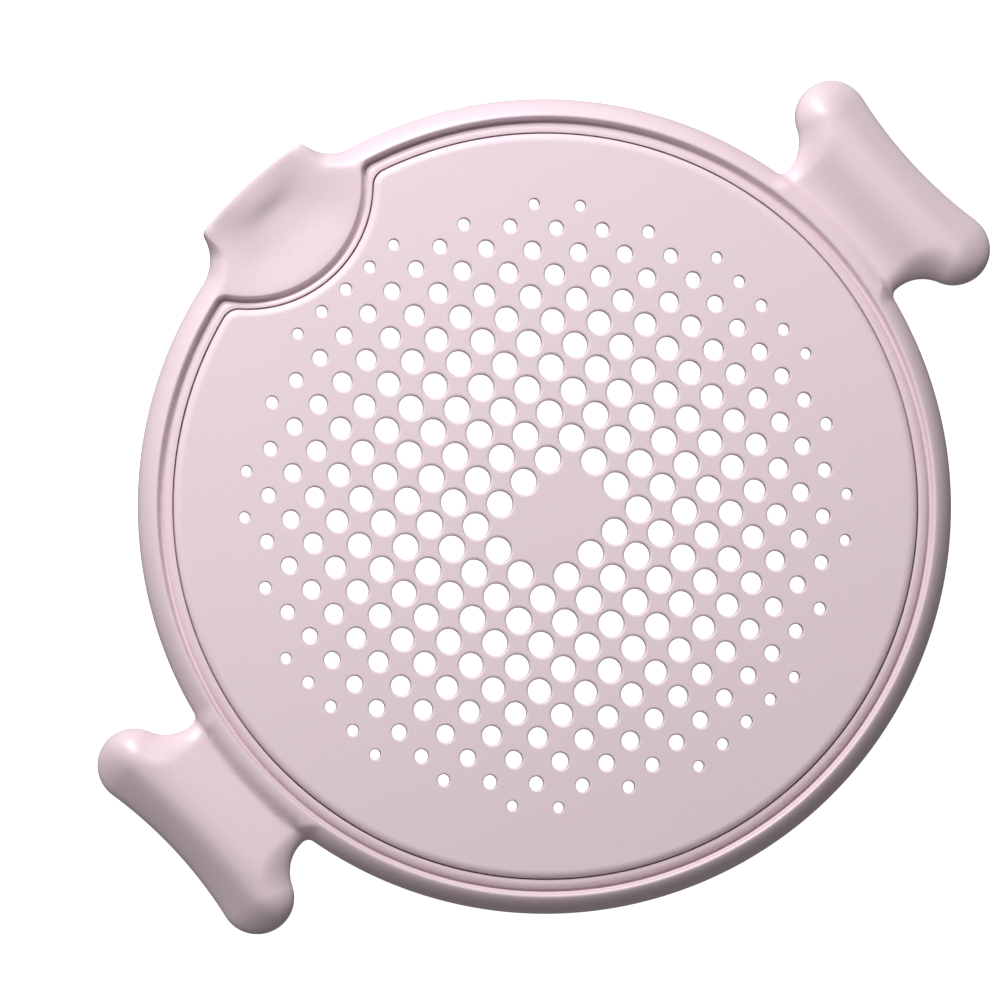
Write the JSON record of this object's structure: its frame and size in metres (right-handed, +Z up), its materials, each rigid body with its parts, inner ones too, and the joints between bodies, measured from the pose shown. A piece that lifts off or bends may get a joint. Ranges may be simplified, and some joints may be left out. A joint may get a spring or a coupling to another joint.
{
  "type": "sink strainer",
  "caption": "Flat round sink strainer: a perforated insert plate in a soft ring with flared handles and a dished thumb tab.",
  "frame": {"origin": "centre of the ring, on the flat surface that the strainer lies on", "axes": "+X runs through a handle, +Y through the thumb tab, +Z up through the perforated plate"},
  "size_m": [0.145, 0.1194, 0.0058],
  "materials": {
    "soft_moulding": "satin",
    "perforated_insert": "matte"
  },
  "bodies": {
    "frame": {"rim_frame": "soft_moulding"},
    "plate": {"strainer_plate": "perforated_insert"}
  },
  "joints": [
    {"name": "plate_lift", "type": "slide", "parent": "frame", "child": "plate", "axis": [0, 0, 1], "range_m": [0, 0.025]}
  ]
}
